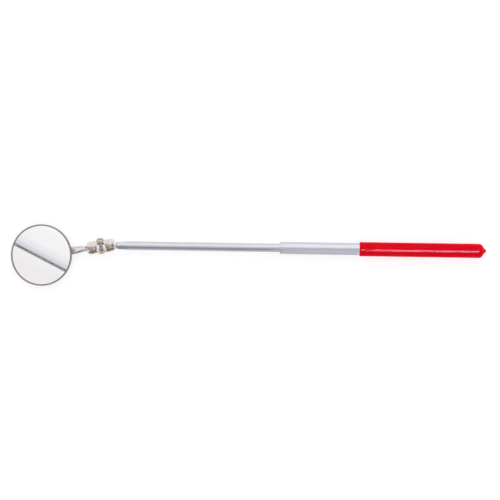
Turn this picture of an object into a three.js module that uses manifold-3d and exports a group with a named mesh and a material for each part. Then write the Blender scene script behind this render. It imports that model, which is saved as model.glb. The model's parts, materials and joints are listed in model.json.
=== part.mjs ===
// Telescoping inspection mirror, lying on its grip with the glass facing up.
// Millimetres, +Z up. The tool's axis runs along X, with the mirror at -X and the grip at +X.
// Every distance called "Along" is measured along that axis from the centre of the rear ball.
import * as THREE from "three";
import { mergeVertices } from "three/addons/utils/BufferGeometryUtils.js";
import Module from "manifold-3d";

const wasm = await Module();
wasm.setup();

// ---- Driving dimensions ----

const RUNNING_GAP = 0.2;
const SEAT_GAP = 0.3;
const SHEET_GAP = 0.25;

const tube = { radius: 5.75, wall: 0.6, mouthAlong: 158.4, endAlong: 341, lipRadius: 1.1, lipBore: 4.35 };
const inner = { radius: 4.05, wall: 0.6, noseAlong: 6.6, noseRadius: 2.95, fullAlong: 11.6, endAlong: 187.6 };
const grip = { radius: 6.6, frontAlong: 232.5, shoulderAlong: 343.4, tipAlong: 350.5, edge: 0.35 };
const bush = { length: 10, setBack: 1.4 };
const shoe = { length: 15, angle: THREE.MathUtils.degToRad(164) };
const collar = { length: 2 };
const tailCap = { flange: 2, spigot: 8 };
const endPlug = { spigot: 2.5, flange: 1 };

const ball = { radius: 3.97, spacing: 15.8 };
const stud = { neckRadius: 1.6, neckEnd: 6.0, collarRadius: 2.7, shankRadius: 2.15, plugEnd: 24 };
const plate = { inside: 3.0, thickness: 1.1, lobeRadius: 5.2, lobeAngle: THREE.MathUtils.degToRad(110) };
const screw = { radius: 1.75, headRadius: 3.3, headHeight: 2.8, tip: -0.6, recess: 3.2, recessWidth: 0.9 };
const nut = { flats: 6.35, height: 2.3, chamfer: 0.35 };
const washer = { height: 0.7, radius: 3.05, slit: 0.8 };

const mirror = { radius: 28.575, centreAlong: 47.8, wall: 0.6, base: 0.7, corner: 1.5, rimBand: 1.4 };
const glass = { thickness: 2.0, bevel: 0.3 };
const pad = { thickness: 0.8 };
const stem = { startAlong: 6.4, startRadius: 2.9, endAlong: 52 };
const tail = { fullAlong: 31, halfWidth: 4.4, halfHeight: 0.9 };

// How the tool lies: the link and the head are turned sideways at the rear ball, the clamp
// plates lean away from upright, and the head droops until its back edge meets the table.
const linkYaw = THREE.MathUtils.degToRad(9);
const plateLean = THREE.MathUtils.degToRad(62);

// ---- Worked-out dimensions ----

const tubeBore = tube.radius - tube.wall;
const innerBore = inner.radius - inner.wall;
const sleeveInside = inner.radius + RUNNING_GAP;
const sleeveOutside = tubeBore - RUNNING_GAP;
const bushStart = tube.mouthAlong + bush.setBack;
const collarStart = bushStart + bush.length + SEAT_GAP;
const shoeStart = collarStart + collar.length + SEAT_GAP;
const plateOutside = plate.inside + plate.thickness;
const pocketRadius = ball.radius + SEAT_GAP;
const domeRadius = pocketRadius + plate.thickness;
const washerBase = plateOutside + SHEET_GAP;
const nutBase = washerBase + washer.height + SHEET_GAP;
const screwHole = screw.radius + SHEET_GAP;
const cupBack = tail.halfHeight + SEAT_GAP;
const padBack = cupBack + mirror.base + SEAT_GAP;
const glassBack = padBack + pad.thickness + SEAT_GAP;
const lipUnder = glassBack + glass.thickness + SEAT_GAP;
const cupTop = lipUnder + mirror.wall;

// The head turns down about the front ball until the rounded corner of its back, a circle
// around (cornerAlong, cornerHeight) from that ball, just meets the table under the grip.
const cornerAlong = mirror.centreAlong + mirror.radius - mirror.corner;
const cornerHeight = cupBack + mirror.corner;
const headDroop = Math.atan2(cornerHeight, cornerAlong)
  + Math.asin((grip.radius - mirror.corner) / Math.hypot(cornerAlong, cornerHeight));

// ---- Materials ----

function material(color, roughness, metalness) {
  return new THREE.MeshStandardMaterial({ color, roughness, metalness, flatShading: true });
}

const chrome = material("#d8d8dc", 0.12, 1);
const brightSteel = material("#cfcac8", 0.25, 1);
const zincSteel = material("#b4b1a6", 0.35, 1);
const brass = material("#b5a67c", 0.28, 1);
const rimSteel = material("#a39da0", 0.3, 1);
const vinyl = material("#d9061f", 0.35, 0);
const felt = material("#5b5a58", 0.95, 0);
const silvered = material("#eef0f4", 0.02, 1);

// ---- Solid helpers ----

// Welds a closed geometry, and turns its faces outward if they face in.
function closed(geometry) {
  const bare = geometry.clone();
  bare.deleteAttribute("normal");
  bare.deleteAttribute("uv");
  const welded = mergeVertices(bare, 1e-5);
  const corners = welded.index.array;
  const kept = [];
  for (let i = 0; i < corners.length; i += 3) {
    const [a, b, c] = corners.slice(i, i + 3);
    if (a !== b && b !== c && c !== a) {
      kept.push(a, b, c);
    }
  }
  if (signedVolume(welded, kept) < 0) {
    kept.reverse();
  }
  welded.setIndex(kept);
  return welded;
}

function signedVolume(geometry, corners) {
  const [a, b, c] = [new THREE.Vector3(), new THREE.Vector3(), new THREE.Vector3()];
  let volume = 0;
  for (let i = 0; i < corners.length; i += 3) {
    a.fromBufferAttribute(geometry.attributes.position, corners[i]);
    b.fromBufferAttribute(geometry.attributes.position, corners[i + 1]);
    c.fromBufferAttribute(geometry.attributes.position, corners[i + 2]);
    volume += a.dot(b.cross(c)) / 6;
  }
  return volume;
}

function toSolid(geometry) {
  const { attributes, index } = closed(geometry);
  const vertProperties = new Float32Array(attributes.position.array);
  const triVerts = new Uint32Array(index.array);
  return new wasm.Manifold(new wasm.Mesh({ numProp: 3, vertProperties, triVerts }));
}

function toGeometry(solid) {
  const { vertProperties, triVerts } = solid.getMesh();
  const geometry = new THREE.BufferGeometry();
  geometry.setAttribute("position", new THREE.BufferAttribute(vertProperties, 3));
  geometry.setIndex(new THREE.BufferAttribute(triVerts, 1));
  return geometry;
}

function cut(geometry, ...tools) {
  return toGeometry(tools.reduce((solid, tool) => solid.subtract(toSolid(tool)), toSolid(geometry)));
}

// A turned piece about the X axis, from [along, radius] points that start and end on the
// axis or come back to the first point.
function turnedAlongX(points, segments = 40) {
  const profile = points.map(([along, radius]) => new THREE.Vector2(radius, along));
  return new THREE.LatheGeometry(profile, segments).rotateZ(-Math.PI / 2);
}

// The same about the Z axis, from [height, radius] points.
function turnedAlongZ(points, segments = 60) {
  const profile = points.map(([height, radius]) => new THREE.Vector2(radius, height));
  return new THREE.LatheGeometry(profile, segments).rotateX(Math.PI / 2);
}

function ringPoints(start, end, inside, outside) {
  return [[start, inside], [start, outside], [end, outside], [end, inside], [start, inside]];
}

function discPoints(start, end, radius) {
  return [[start, 0], [start, radius], [end, radius], [end, 0]];
}

// Points on a quarter round about (along, radius), from one angle to another.
function arcPoints(along, radius, bend, from, to, steps = 5) {
  const points = [];
  for (let i = 0; i <= steps; i += 1) {
    const angle = from + (to - from) * (i / steps);
    points.push([along + bend * Math.cos(angle), radius + bend * Math.sin(angle)]);
  }
  return points;
}

function part(name, geometry, finish, parent) {
  const mesh = new THREE.Mesh(closed(geometry), finish);
  mesh.name = name;
  parent.add(mesh);
  return mesh;
}

// ---- Handle: outer tube, grip, plug and guide bush ----

function outerTubeGeometry() {
  const bend = tube.lipRadius;
  const lip = arcPoints(tube.mouthAlong + bend, tube.radius - bend, bend, Math.PI, Math.PI / 2);
  return turnedAlongX([
    [tube.mouthAlong + bend, tubeBore],
    [tube.mouthAlong + bend, tube.lipBore],
    [tube.mouthAlong + 0.15, tube.lipBore],
    ...lip,
    [tube.endAlong, tube.radius],
    [tube.endAlong, tubeBore],
    [tube.mouthAlong + bend, tubeBore],
  ]);
}

// The dipped grip runs out over a soft shoulder into the small nub that the last drip leaves.
function gripGeometry() {
  const inside = tube.radius + RUNNING_GAP;
  const hollowEnd = tube.endAlong + endPlug.flange + 2 * SEAT_GAP;
  const runOut = new THREE.SplineCurve([
    new THREE.Vector2(grip.shoulderAlong, grip.radius),
    new THREE.Vector2(grip.shoulderAlong + 2.5, grip.radius * 0.89),
    new THREE.Vector2(grip.shoulderAlong + 3.8, grip.radius * 0.62),
    new THREE.Vector2(grip.shoulderAlong + 5.2, grip.radius * 0.33),
    new THREE.Vector2(grip.tipAlong - 0.6, grip.radius * 0.16),
    new THREE.Vector2(grip.tipAlong, 0),
  ]);
  return turnedAlongX([
    [hollowEnd, 0],
    [hollowEnd, inside],
    [grip.frontAlong, inside],
    [grip.frontAlong, grip.radius - grip.edge],
    [grip.frontAlong + grip.edge, grip.radius],
    ...runOut.getPoints(10).map((point) => [point.x, point.y]),
  ]);
}

function endPlugGeometry() {
  const face = tube.endAlong + SEAT_GAP;
  return turnedAlongX([
    [tube.endAlong - endPlug.spigot, 0],
    [tube.endAlong - endPlug.spigot, sleeveOutside],
    [face, sleeveOutside],
    [face, tube.radius],
    [face + endPlug.flange, tube.radius],
    [face + endPlug.flange, 0],
  ]);
}

// ---- Sliding stage: friction shoes, collar, inner tube, tail cap and stud ----

function shoeGeometry() {
  const shape = new THREE.Shape();
  const half = shoe.angle / 2;
  shape.absarc(0, 0, sleeveOutside, -half, half, false);
  shape.absarc(0, 0, sleeveInside, half, -half, true);
  const options = { depth: shoe.length, bevelEnabled: false, curveSegments: 12 };
  return new THREE.ExtrudeGeometry(shape, options).rotateY(Math.PI / 2);
}

// The nose is swaged in to a rounded end that closes on the stud's shank.
function innerTubeGeometry() {
  const noseLength = inner.fullAlong - inner.noseAlong;
  const nose = (radiusAtNose, radiusFull, steps) => {
    const points = [];
    for (let i = 0; i <= steps; i += 1) {
      const angle = (Math.PI / 2) * (i / steps);
      const along = inner.fullAlong - noseLength * Math.cos(angle);
      points.push([along, radiusAtNose + (radiusFull - radiusAtNose) * Math.sin(angle)]);
    }
    return points;
  };
  const boreAtNose = stud.shankRadius + RUNNING_GAP;
  const outside = nose(inner.noseRadius, inner.radius, 6);
  const inside = nose(boreAtNose, innerBore, 4).reverse();
  return turnedAlongX([
    ...outside,
    [inner.endAlong, inner.radius],
    [inner.endAlong, innerBore],
    ...inside,
    [inner.noseAlong, inner.noseRadius],
  ]);
}

function tailCapGeometry() {
  const face = inner.endAlong + SEAT_GAP;
  const spigotRadius = innerBore - RUNNING_GAP;
  return turnedAlongX([
    [face - tailCap.spigot, 0],
    [face - tailCap.spigot, spigotRadius],
    [face, spigotRadius],
    [face, sleeveOutside],
    [face + tailCap.flange, sleeveOutside],
    [face + tailCap.flange, 0],
  ]);
}

// The stud's neck ends in a hollow that follows the ball. Its plug fills the inner tube.
function studGeometry() {
  const plugRadius = innerBore - RUNNING_GAP;
  const collarEnd = inner.noseAlong - RUNNING_GAP;
  return turnedAlongX([
    [pocketRadius, 0],
    [Math.sqrt(pocketRadius ** 2 - stud.neckRadius ** 2), stud.neckRadius],
    [stud.neckEnd, stud.neckRadius],
    [stud.neckEnd, stud.collarRadius],
    [collarEnd, stud.collarRadius],
    [collarEnd, stud.shankRadius],
    [inner.fullAlong + 1, stud.shankRadius],
    [inner.fullAlong + 1, plugRadius],
    [stud.plugEnd, plugRadius],
    [stud.plugEnd, 0],
  ]);
}

function ballGeometry() {
  return new THREE.SphereGeometry(ball.radius, 24, 16);
}

// ---- Link: two clamp plates, screw, nut and lock washer, about the screw's axis ----

function plateOutline() {
  const half = ball.spacing / 2;
  const turn = plate.lobeAngle;
  const waistStart = new THREE.Vector2(Math.cos(turn), Math.sin(turn)).multiplyScalar(plate.lobeRadius);
  waistStart.x += half;
  const waist = waistStart.y + waistStart.x / Math.tan(turn);
  const shape = new THREE.Shape();
  shape.absarc(half, 0, plate.lobeRadius, -turn, turn, false);
  shape.quadraticCurveTo(0, waist, -waistStart.x, waistStart.y);
  shape.absarc(-half, 0, plate.lobeRadius, Math.PI - turn, Math.PI + turn, false);
  shape.quadraticCurveTo(0, -waist, waistStart.x, -waistStart.y);
  const hole = new THREE.Path();
  hole.absarc(0, 0, screwHole, 0, 2 * Math.PI, true);
  shape.holes.push(hole);
  return shape;
}

// One pressed plate, with a dome over each ball, above the middle plane of the link.
function clampPlateGeometry() {
  const options = { depth: plate.thickness, bevelEnabled: false, curveSegments: 16 };
  let solid = toSolid(new THREE.ExtrudeGeometry(plateOutline(), options).translate(0, 0, plate.inside));
  const reach = 2 * domeRadius;
  const below = new THREE.BoxGeometry(reach, reach, reach).translate(0, 0, plate.inside + 0.4 - reach / 2);
  for (const side of [-1, 1]) {
    const centre = (side * ball.spacing) / 2;
    const dome = new THREE.SphereGeometry(domeRadius, 28, 20).translate(centre, 0, 0);
    const clear = below.clone().translate(centre, 0, 0);
    const pocket = new THREE.SphereGeometry(pocketRadius, 28, 20).translate(centre, 0, 0);
    solid = solid.add(toSolid(dome).subtract(toSolid(clear))).subtract(toSolid(pocket));
  }
  return toGeometry(solid);
}

function screwGeometry() {
  const headUnder = -washerBase;
  const headTop = headUnder - screw.headHeight;
  const shankEnd = nutBase + nut.height + screw.tip;
  const body = turnedAlongZ([
    [headTop, 0],
    [headTop, screw.headRadius * 0.62],
    [headTop + 0.45, screw.headRadius * 0.9],
    [headTop + 1.0, screw.headRadius],
    [headUnder, screw.headRadius],
    [headUnder, screw.radius],
    [shankEnd - 0.3, screw.radius],
    [shankEnd, screw.radius - 0.3],
    [shankEnd, 0],
  ], 32);
  const recessDepth = screw.headHeight * 0.55;
  const bar = new THREE.BoxGeometry(screw.recess, screw.recessWidth, 2 * recessDepth);
  bar.translate(0, 0, headTop);
  return cut(body, bar, bar.clone().rotateZ(Math.PI / 2));
}

// A hexagon with its top and bottom corners turned off.
function nutGeometry() {
  const corner = nut.flats / Math.sqrt(3);
  const face = nut.flats / 2;
  const blank = new THREE.CylinderGeometry(corner, corner, nut.height, 6).rotateX(Math.PI / 2);
  const turned = turnedAlongZ([
    [-nut.height / 2, 0],
    [-nut.height / 2, face],
    [-nut.height / 2 + nut.chamfer, corner],
    [nut.height / 2 - nut.chamfer, corner],
    [nut.height / 2, face],
    [nut.height / 2, 0],
  ], 36);
  const bore = new THREE.CylinderGeometry(screwHole, screwHole, 2 * nut.height, 24).rotateX(Math.PI / 2);
  const solid = toSolid(blank).intersect(toSolid(turned)).subtract(toSolid(bore));
  return toGeometry(solid).translate(0, 0, nutBase + nut.height / 2);
}

function lockWasherGeometry() {
  const ring = turnedAlongZ(ringPoints(washerBase, washerBase + washer.height, screwHole, washer.radius), 40);
  const slit = new THREE.BoxGeometry(washer.radius * 2, washer.slit, washer.height * 4);
  return cut(ring, slit.translate(washer.radius, 0, washerBase).rotateZ(Math.PI / 5));
}

// ---- Mirror head, about the front ball ----

// A round stem pressed flat towards its tail. It is flat where it passes under the cup's rim,
// goes on widening to its full width, and ends in a half round.
function stemGeometry() {
  const { clamp, lerp, smoothstep } = THREE.MathUtils;
  const length = stem.endAlong - stem.startAlong;
  const flatAlong = mirror.centreAlong - mirror.radius - 0.6;
  const geometry = new THREE.CylinderGeometry(1, 1, length, 24, 30).rotateZ(Math.PI / 2);
  const position = geometry.attributes.position;
  for (let i = 0; i < position.count; i += 1) {
    const along = stem.startAlong + length / 2 - position.getX(i);
    const widened = clamp((along - stem.startAlong) / (tail.fullAlong - stem.startAlong), 0, 1);
    const pressed = smoothstep(along, stem.startAlong + 2, flatAlong);
    const toEnd = clamp((stem.endAlong - along) / tail.halfWidth, 0.01, 1);
    const endRound = Math.sqrt(toEnd * (2 - toEnd));
    const width = lerp(stem.startRadius, tail.halfWidth, widened) * endRound;
    const height = lerp(stem.startRadius, tail.halfHeight, pressed);
    const fullness = lerp(1, 1.3, pressed);
    const z = clamp(height * fullness * position.getZ(i), -height, height);
    position.setXYZ(i, -along, width * position.getY(i), z);
  }
  return geometry;
}

// The neck runs from the hollow that follows the ball into the stem.
function stemNeckGeometry() {
  return turnedAlongX([
    [-Math.sqrt(pocketRadius ** 2 - stud.neckRadius ** 2), 0],
    [-Math.sqrt(pocketRadius ** 2 - stud.neckRadius ** 2), stud.neckRadius],
    [-stem.startAlong - 1, stud.neckRadius],
    [-stem.startAlong - 1, 0],
  ], 24);
}

function cupGeometry() {
  const outside = mirror.radius;
  const inside = outside - mirror.wall;
  const bend = mirror.corner;
  const corner = arcPoints(cupBack + bend, outside - bend, bend, Math.PI, Math.PI / 2);
  const roll = arcPoints(cupTop - 0.9, outside - 0.9, 0.9, Math.PI / 2, 0, 4);
  return turnedAlongZ([
    [cupBack, 0],
    ...corner,
    ...roll,
    [cupTop, outside - mirror.rimBand + 0.2],
    [cupTop - 0.2, outside - mirror.rimBand],
    [lipUnder, outside - mirror.rimBand],
    [lipUnder, inside],
    [cupBack + mirror.base, inside],
    [cupBack + mirror.base, 0],
  ]);
}

function glassGeometry() {
  const radius = mirror.radius - mirror.wall - SEAT_GAP;
  const front = glassBack + glass.thickness;
  return turnedAlongZ([
    [glassBack, 0],
    [glassBack, radius],
    [front - glass.bevel, radius],
    [front, radius - glass.bevel],
    [front, 0],
  ]);
}

// ---- Assembly ----

const model = new THREE.Group();

const handle = new THREE.Group();
part("outer_tube", outerTubeGeometry(), chrome, handle);
part("grip_sleeve", gripGeometry(), vinyl, handle);
part("tube_end_plug", endPlugGeometry(), zincSteel, handle);
const bushPoints = ringPoints(bushStart, bushStart + bush.length, sleeveInside, sleeveOutside);
part("guide_bush", turnedAlongX(bushPoints), brass, handle);

const slidingStage = new THREE.Group();
for (const [index, turn] of [Math.PI / 2, -Math.PI / 2].entries()) {
  const shell = part(`friction_shoe_${index + 1}`, shoeGeometry(), brass, slidingStage);
  shell.position.x = shoeStart;
  shell.rotation.x = turn;
}
const collarPoints = ringPoints(collarStart, collarStart + collar.length, sleeveInside, sleeveOutside);
part("stop_collar", turnedAlongX(collarPoints), brass, slidingStage);
part("inner_tube", innerTubeGeometry(), chrome, slidingStage);
part("tube_tail_cap", tailCapGeometry(), brass, slidingStage);
part("rear_stud", studGeometry(), brightSteel, slidingStage);
part("rear_ball", ballGeometry(), brass, slidingStage);

const turned = new THREE.Group();
turned.rotation.z = linkYaw;

const link = new THREE.Group();
link.rotation.x = -plateLean;
const clamp = new THREE.Group();
clamp.position.x = -ball.spacing / 2;
part("upper_clamp_plate", clampPlateGeometry(), brightSteel, clamp);
part("lower_clamp_plate", clampPlateGeometry(), brightSteel, clamp).rotation.x = Math.PI;
part("clamp_screw", screwGeometry(), zincSteel, clamp);
part("clamp_nut", nutGeometry(), zincSteel, clamp);
part("lock_washer", lockWasherGeometry(), zincSteel, clamp);
link.add(clamp);
turned.add(link);

const head = new THREE.Group();
head.position.x = -ball.spacing;
head.rotation.y = -headDroop;
part("front_ball", ballGeometry(), brass, head);
part("stem", toGeometry(toSolid(stemGeometry()).add(toSolid(stemNeckGeometry()))), brightSteel, head);

const mirrorHead = new THREE.Group();
mirrorHead.position.x = -mirror.centreAlong;
part("mirror_cup", cupGeometry(), rimSteel, mirrorHead);
const padRadius = mirror.radius - mirror.wall - 2 * SEAT_GAP;
part("backing_pad", turnedAlongZ(discPoints(padBack, padBack + pad.thickness, padRadius)), felt, mirrorHead);
part("mirror_glass", glassGeometry(), silvered, mirrorHead);
head.add(mirrorHead);
turned.add(head);

model.add(handle, slidingStage, turned);

// The middle of the whole tool stands over the origin, and its lowest point is at height 0.
const bounds = new THREE.Box3().setFromObject(model, true);
const middle = bounds.getCenter(new THREE.Vector3());
model.position.set(-middle.x, -middle.y, -bounds.min.z);

const group = new THREE.Group();
group.add(model);

export default group;
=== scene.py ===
import json
import math

import bmesh
import bpy
from mathutils import Matrix, Vector

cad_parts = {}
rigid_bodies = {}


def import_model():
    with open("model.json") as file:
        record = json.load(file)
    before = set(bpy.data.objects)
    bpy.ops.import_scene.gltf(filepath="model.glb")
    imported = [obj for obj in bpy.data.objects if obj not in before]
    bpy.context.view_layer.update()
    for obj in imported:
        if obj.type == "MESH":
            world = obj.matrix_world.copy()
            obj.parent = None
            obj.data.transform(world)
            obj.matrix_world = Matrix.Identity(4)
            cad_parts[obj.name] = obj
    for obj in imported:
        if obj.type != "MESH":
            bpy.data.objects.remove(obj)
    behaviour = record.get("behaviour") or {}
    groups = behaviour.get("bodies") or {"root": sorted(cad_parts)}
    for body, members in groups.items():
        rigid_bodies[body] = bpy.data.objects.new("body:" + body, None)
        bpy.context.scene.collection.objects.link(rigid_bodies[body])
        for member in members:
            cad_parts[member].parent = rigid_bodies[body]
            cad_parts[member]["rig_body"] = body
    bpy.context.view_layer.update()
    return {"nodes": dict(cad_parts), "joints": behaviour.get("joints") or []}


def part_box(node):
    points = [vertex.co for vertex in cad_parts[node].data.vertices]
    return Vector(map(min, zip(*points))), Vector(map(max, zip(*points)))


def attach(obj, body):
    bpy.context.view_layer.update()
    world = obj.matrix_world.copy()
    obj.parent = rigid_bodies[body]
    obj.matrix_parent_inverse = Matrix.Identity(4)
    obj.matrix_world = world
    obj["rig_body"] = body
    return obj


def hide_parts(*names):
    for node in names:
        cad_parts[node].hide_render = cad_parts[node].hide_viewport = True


bl_info = {
    "name": "Telescoping inspection mirror",
    "version": (1, 0, 0),
    "blender": (4, 5, 0),
    "location": "3D View > Sidebar > Inspection mirror",
    "description": "Makes the finished pieces of a telescoping inspection mirror on its CAD frame",
    "category": "Object",
}

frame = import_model()
MM = 0.001


# ---- Where things are ----

def axes(origin, along, upright):
    """A frame at origin with X along one direction and Z as near as it can be to another."""
    x = Vector(along).normalized()
    y = Vector(upright).cross(x).normalized()
    z = x.cross(y)
    matrix = Matrix((x, y, z)).transposed().to_4x4()
    matrix.translation = origin
    return matrix


JOINTS = {joint["name"]: joint for joint in frame["joints"]}
REAR_BALL = Vector(JOINTS["clamp_swing"]["pos_m"])
FRONT_BALL = Vector(JOINTS["head_swing"]["pos_m"])
TOOL = axes(REAR_BALL, (1, 0, 0), (0, 0, 1))
CLAMP = axes((REAR_BALL + FRONT_BALL) / 2, REAR_BALL - FRONT_BALL, JOINTS["clamp_swing"]["axis"])
HEAD = axes(FRONT_BALL, JOINTS["head_spin"]["axis"], (0, 0, 1))


def along_tool(node):
    """Where a node starts and ends along the tool's axis, and its radius, in millimetres."""
    low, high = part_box(node)
    return (low.x - REAR_BALL.x) / MM, (high.x - REAR_BALL.x) / MM, (high.y - low.y) / 2 / MM


TUBE_MOUTH, TUBE_END, TUBE_RADIUS = along_tool("outer_tube")
NOSE, INNER_END, INNER_RADIUS = along_tool("inner_tube")
GRIP_FRONT, GRIP_TIP, GRIP_RADIUS = along_tool("grip_sleeve")
PLUG_FACE = along_tool("tube_end_plug")[1]
STUD_END = along_tool("rear_stud")[1]
BALL_LOW, BALL_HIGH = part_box("rear_ball")
BALL_RADIUS = (BALL_HIGH.z - BALL_LOW.z) / 2 / MM
SPACING = (REAR_BALL - FRONT_BALL).length / MM
CUP_LOW, CUP_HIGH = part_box("mirror_cup")
MIRROR_RADIUS = (CUP_HIGH.y - CUP_LOW.y) / 2 / MM
MIRROR_ALONG = -(HEAD.inverted() @ ((CUP_LOW + CUP_HIGH) / 2)).x / MM

# Sizes that pieces share and the frame does not give, in millimetres.
TUBE_WALL = 0.6
# The necks run this far into the balls, so that no gap shows.
NECK_DEPTH = 0.15
# Levels in the clamp and head frames.
WASHER_BASE, NUT_BASE, NUT_HEIGHT = 4.35, 5.3, 2.3
GLASS_FACE = 5.3


# ---- Sizes and colours ----

def linear(code):
    """An sRGB hex colour as linear red, green, blue and alpha."""
    values = [int(code[i:i + 2], 16) / 255 for i in (1, 3, 5)]
    curve = [v / 12.92 if v <= 0.04045 else ((v + 0.055) / 1.055) ** 2.4 for v in values]
    return (*curve, 1.0)


def size(name, description, millimetres):
    """A length, kept in metres."""
    settings = {"min": 0, "precision": 5, "subtype": "DISTANCE", "unit": "LENGTH"}
    default = millimetres * MM
    return bpy.props.FloatProperty(name=name, description=description, default=default, **settings)


def count(name, description, number):
    """A whole number."""
    return bpy.props.IntProperty(name=name, description=description, default=number, min=1)


def colour(name, description, code):
    """A colour, kept linear."""
    settings = {"size": 4, "min": 0, "max": 1, "subtype": "COLOR"}
    return bpy.props.FloatVectorProperty(
        name=name, description=description, default=linear(code), **settings
    )


class InspectionMirrorSizes(bpy.types.PropertyGroup):
    """Sizes of the details that the finished pieces add to the CAD shapes."""

    lip_bend: size("Lip bend", "Radius of the roll at the outer tube's mouth", 1.1)
    swage_flats: count("Swage flats", "Flats that swaging leaves round the inner tube's nose", 6)
    swage_reach: size("Swage reach", "How far the flats run from the rear ball's centre", 19)
    grip_ripple: size("Grip ripple", "How deep the dipped vinyl's surface wanders", 0.16)
    plate_edge: size("Plate edge", "Rounding of the clamp plates' edges", 0.3)
    dome_fillet: size("Dome fillet", "Rounding where a dome rises from its plate", 0.55)
    thread_pitch: size("Thread pitch", "Distance between turns of the screw's thread", 0.8)
    thread_height: size("Thread height", "How far the thread stands out from its core", 0.32)
    nut_chamfer: size("Nut chamfer", "Depth turned off the nut's corners", 0.45)
    rim_roll: size("Rim roll", "Radius of the cup's rolled rim", 0.9)
    weld_marks: count("Weld marks", "Spot welds that hold the stem's tail to the cup", 3)
    weld_size: size("Weld size", "Radius of the ring that a welding tip leaves", 1.25)


class InspectionMirrorColours(bpy.types.PropertyGroup):
    """Base colours of the finishes."""

    chrome: colour("Chrome", "Bright chrome plate on the tubes", "#CDCDD3")
    nickel: colour("Nickel", "Nickel plate on the stud, stem and clamp plates", "#DDD7DA")
    zinc: colour("Zinc", "Clear zinc plate on the screw, nut and washer", "#CDCCC0")
    brass: colour("Brass", "Turned brass of the balls and the inner works", "#D0C4AC")
    rim: colour("Rim", "Plated steel of the mirror cup", "#8F8A8B")
    vinyl: colour("Vinyl", "Dipped vinyl of the grip", "#DA001D")
    silver: colour("Silver", "Silvering behind the glass", "#F5F4F4")
    felt: colour("Felt", "Pad behind the glass", "#5B5A58")
    floor: colour("Floor", "Paper that the tool lies on", "#A8A8A8")


def sizes():
    """The sizes that the panel shows."""
    return bpy.context.scene.inspection_mirror_sizes


def colours():
    """The colours that the panel shows."""
    return bpy.context.scene.inspection_mirror_colours


# ---- Nodes ----

def add(tree, kind, inputs=None, **settings):
    """Adds a node, with its settings, and its inputs as values or as sockets to link."""
    node = tree.nodes.new(kind)
    for key, value in settings.items():
        setattr(node, key, value)
    for key, value in (inputs or {}).items():
        if isinstance(value, bpy.types.NodeSocket):
            tree.links.new(value, node.inputs[key])
        else:
            node.inputs[key].default_value = value
    return node


def math_of(tree, operation, *values):
    """The result of one sum on numbers or sockets."""
    return add(tree, "ShaderNodeMath", dict(enumerate(values)), operation=operation).outputs[0]


def vector_math(tree, operation, *values):
    """The outputs of one sum on vectors."""
    inputs = dict(enumerate(values))
    return add(tree, "ShaderNodeVectorMath", inputs, operation=operation).outputs


def in_frame(tree, place, origin, turn):
    """Coordinates in a frame with its own origin and turn."""
    inputs = {"Vector": place, "Location": origin, "Rotation": turn}
    return add(tree, "ShaderNodeMapping", inputs, vector_type="TEXTURE").outputs["Vector"]


def pattern(tree, place, rates, detail=3.0, turn=(0, 0, 0)):
    """Noise with so many features per metre along each axis of a turned frame."""
    scaled = vector_math(tree, "MULTIPLY", in_frame(tree, place, (0, 0, 0), turn), rates)
    inputs = {"Vector": scaled["Vector"], "Scale": 1.0, "Detail": detail}
    return add(tree, "ShaderNodeTexNoise", inputs).outputs["Fac"]


def ranged(tree, value, low, high, start=0.3, stop=0.7):
    """A value moved from one range to another. Noise mostly lies between 0.3 and 0.7."""
    inputs = {"Value": value, "From Min": start, "From Max": stop, "To Min": low, "To Max": high}
    return add(tree, "ShaderNodeMapRange", inputs).outputs["Result"]


def mixed(tree, factor, first, second):
    """Two colours mixed by a factor."""
    # The Mix node keeps its colour sockets after those for numbers and vectors.
    inputs = {0: factor, 6: first, 7: second}
    return add(tree, "ShaderNodeMix", inputs, data_type="RGBA").outputs[2]


def shade(colour_value, factor):
    """The same colour, darker or lighter by a factor."""
    return (*(min(1.0, channel * factor) for channel in colour_value[:3]), 1.0)


def mottled(tree, value, base, low, high):
    """A base colour that a pattern takes from low to high times itself."""
    return mixed(tree, ranged(tree, value, 0, 1), shade(base, low), shade(base, high))


def fill_ramp(ramp, stops):
    """Gives a colour ramp its (position, colour) stops."""
    elements = ramp.color_ramp.elements
    elements.remove(elements[-1])
    elements[0].position, elements[0].color = stops[0]
    for where, value in stops[1:]:
        elements.new(where).color = value


def relief(tree, height, depth):
    """A bump that is so many metres deep."""
    inputs = {"Height": height, "Distance": depth, "Strength": 1.0}
    return add(tree, "ShaderNodeBump", inputs).outputs["Normal"]


def new_material(name):
    """An empty material, its tree, and Object coordinates in metres."""
    material = bpy.data.materials.new(name)
    material.use_nodes = True
    tree = material.node_tree
    tree.nodes.clear()
    place = add(tree, "ShaderNodeTexCoord").outputs["Object"]
    return material, tree, place


def surface(tree, inputs, kind="ShaderNodeBsdfPrincipled"):
    """Ends a material's tree with one shader that has these inputs."""
    shader = add(tree, kind, inputs)
    add(tree, "ShaderNodeOutputMaterial", {"Surface": shader.outputs[0]})


def metal(tree, tint, roughness, normal):
    """Ends a material's tree with a metal's shader."""
    inputs = {"Base Color": tint, "Metallic": 1.0, "Roughness": roughness, "Normal": normal}
    surface(tree, inputs)


# ---- Finishes ----

def finish(fill):
    """A function that gives the material with fill's name. The first call makes it, and fill
    gets its tree and its Object coordinates in metres."""
    def ready():
        made = bpy.data.materials.get(fill.__name__)
        if made is None:
            made, tree, place = new_material(fill.__name__)
            fill(tree, place)
        return made
    return ready


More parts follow.
